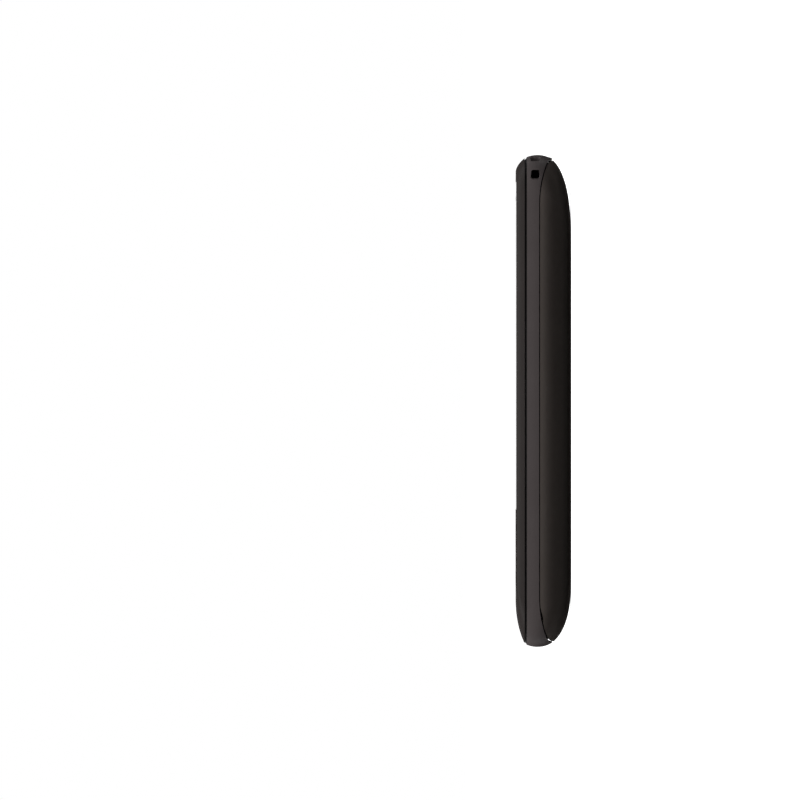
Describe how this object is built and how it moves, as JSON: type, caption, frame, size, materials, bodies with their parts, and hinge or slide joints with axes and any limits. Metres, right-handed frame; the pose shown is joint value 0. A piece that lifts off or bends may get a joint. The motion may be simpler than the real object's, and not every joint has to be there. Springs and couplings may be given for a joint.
{
  "type": "slider phone",
  "caption": "Slider phone: a slim display half slides along a pebble-shaped main half to bare a number keypad; USB-C port, charging contacts, torch and lanyard hole",
  "frame": {"origin": "middle of the rear face, with the phone lying on its back and the slide closed", "axes": "+X across the phone to the right as its user sees it, +Y along it towards the torch end, +Z out of the display"},
  "size_m": [0.056, 0.12, 0.0134],
  "materials": {
    "band_paint": "gloss brown-black lacquer",
    "cover_paint": "satin brown-black lacquer",
    "front_paint": "satin brown-black lacquer",
    "deck_black": "matt black",
    "board_green": "solder mask",
    "dome_film": "translucent film",
    "tinned_steel": "tinned",
    "battery_wrap": "wrapped",
    "inner_black": "moulded",
    "port_steel": "plated",
    "tongue_grey": "moulded",
    "contact_gold": "gold plated",
    "lens_clear": "clear",
    "reflector_silver": "vapour coated",
    "led_yellow": "phosphor",
    "screw_steel": "zinc plated",
    "rail_steel": "spring steel",
    "buffer_rubber": "soft",
    "flex_amber": "polyimide film",
    "window_dark": "gloss",
    "runner_white": "slippery plastic",
    "sheet_black": "black",
    "panel_dark": "display module",
    "mesh_steel": "woven mesh",
    "front_key_grey": "satin",
    "number_key_black": "satin"
  },
  "bodies": {
    "main_half": {"mid_frame": "band_paint", "keypad_deck": "deck_black", "keypad_board": "board_green", "keypad_domes": "dome_film", "main_board": "board_green", "shield_cans": "tinned_steel", "battery": "battery_wrap", "battery_connector": "inner_black", "usb_shell": "port_steel", "usb_tongue": "tongue_grey", "charging_contacts": "contact_gold", "contact_rings": "inner_black", "torch_lens": "lens_clear", "torch_reflector": "reflector_silver", "torch_led": "led_yellow", "loudspeaker": "inner_black", "vibration_motor": "tinned_steel", "microphone": "contact_gold", "sim_holder": "tinned_steel", "memory_card_holder": "tinned_steel", "camera_module": "inner_black", "chassis_screws": "screw_steel", "slide_rails": "rail_steel", "slide_stops": "buffer_rubber", "detent_springs": "rail_steel", "flex_cable": "flex_amber", "rail_screws": "screw_steel"},
    "display_half": {"front_frame": "front_paint", "slide_carriage": "rail_steel", "slide_runners": "runner_white", "carriage_screws": "screw_steel", "back_sheet": "sheet_black", "display_panel": "panel_dark", "display_window": "window_dark", "receiver": "inner_black", "earpiece_mesh": "mesh_steel", "front_key_board": "board_green"},
    "cover": {"rear_cover": "cover_paint", "camera_window": "window_dark"},
    "key_1": {"key_1": "number_key_black"},
    "key_2": {"key_2": "number_key_black"},
    "key_3": {"key_3": "number_key_black"},
    "key_4": {"key_4": "number_key_black"},
    "key_5": {"key_5": "number_key_black"},
    "key_6": {"key_6": "number_key_black"},
    "key_7": {"key_7": "number_key_black"},
    "key_8": {"key_8": "number_key_black"},
    "key_9": {"key_9": "number_key_black"},
    "key_star": {"key_star": "number_key_black"},
    "key_0": {"key_0": "number_key_black"},
    "key_hash": {"key_hash": "number_key_black"},
    "select_key": {"select_key": "front_key_grey"},
    "left_soft_key": {"left_soft_key": "front_key_grey"},
    "right_soft_key": {"right_soft_key": "front_key_grey"},
    "call_key": {"call_key": "front_key_grey"},
    "end_key": {"end_key": "front_key_grey"},
    "navigation_key": {"navigation_key": "front_key_grey"}
  },
  "joints": [
    {"name": "display_slide", "type": "slide", "parent": "main_half", "child": "display_half", "axis": [0, 1, 0], "range_m": [0, 0.036]},
    {"name": "rear_cover_lift", "type": "slide", "parent": "cover", "child": "main_half", "axis": [0, 0, 1], "range_m": [0, 0.012]},
    {"name": "key_1_press", "type": "slide", "parent": "main_half", "child": "key_1", "axis": [0, 0, -1], "range_m": [0, 0.0003], "stiffness_N_per_m": 300},
    {"name": "key_2_press", "type": "slide", "parent": "main_half", "child": "key_2", "axis": [0, 0, -1], "range_m": [0, 0.0003], "stiffness_N_per_m": 300},
    {"name": "key_3_press", "type": "slide", "parent": "main_half", "child": "key_3", "axis": [0, 0, -1], "range_m": [0, 0.0003], "stiffness_N_per_m": 300},
    {"name": "key_4_press", "type": "slide", "parent": "main_half", "child": "key_4", "axis": [0, 0, -1], "range_m": [0, 0.0003], "stiffness_N_per_m": 300},
    {"name": "key_5_press", "type": "slide", "parent": "main_half", "child": "key_5", "axis": [0, 0, -1], "range_m": [0, 0.0003], "stiffness_N_per_m": 300},
    {"name": "key_6_press", "type": "slide", "parent": "main_half", "child": "key_6", "axis": [0, 0, -1], "range_m": [0, 0.0003], "stiffness_N_per_m": 300},
    {"name": "key_7_press", "type": "slide", "parent": "main_half", "child": "key_7", "axis": [0, 0, -1], "range_m": [0, 0.0003], "stiffness_N_per_m": 300},
    {"name": "key_8_press", "type": "slide", "parent": "main_half", "child": "key_8", "axis": [0, 0, -1], "range_m": [0, 0.0003], "stiffness_N_per_m": 300},
    {"name": "key_9_press", "type": "slide", "parent": "main_half", "child": "key_9", "axis": [0, 0, -1], "range_m": [0, 0.0003], "stiffness_N_per_m": 300},
    {"name": "key_star_press", "type": "slide", "parent": "main_half", "child": "key_star", "axis": [0, 0, -1], "range_m": [0, 0.0003], "stiffness_N_per_m": 300},
    {"name": "key_0_press", "type": "slide", "parent": "main_half", "child": "key_0", "axis": [0, 0, -1], "range_m": [0, 0.0003], "stiffness_N_per_m": 300},
    {"name": "key_hash_press", "type": "slide", "parent": "main_half", "child": "key_hash", "axis": [0, 0, -1], "range_m": [0, 0.0003], "stiffness_N_per_m": 300},
    {"name": "select_key_press", "type": "slide", "parent": "display_half", "child": "select_key", "axis": [0, 0, -1], "range_m": [0, 0.0002], "stiffness_N_per_m": 300},
    {"name": "left_soft_key_press", "type": "slide", "parent": "display_half", "child": "left_soft_key", "axis": [0, 0, -1], "range_m": [0, 0.0002], "stiffness_N_per_m": 300},
    {"name": "right_soft_key_press", "type": "slide", "parent": "display_half", "child": "right_soft_key", "axis": [0, 0, -1], "range_m": [0, 0.0002], "stiffness_N_per_m": 300},
    {"name": "call_key_press", "type": "slide", "parent": "display_half", "child": "call_key", "axis": [0, 0, -1], "range_m": [0, 0.0002], "stiffness_N_per_m": 300},
    {"name": "end_key_press", "type": "slide", "parent": "display_half", "child": "end_key", "axis": [0, 0, -1], "range_m": [0, 0.0002], "stiffness_N_per_m": 300},
    {"name": "navigation_key_rock", "type": "hinge", "parent": "display_half", "child": "navigation_key", "pos_m": [0, -0.0376, 0.01245], "axis": [1, 0, 0], "range_deg": [-1.2, 1.2], "stiffness_Nm_per_rad": 0.02}
  ]
}
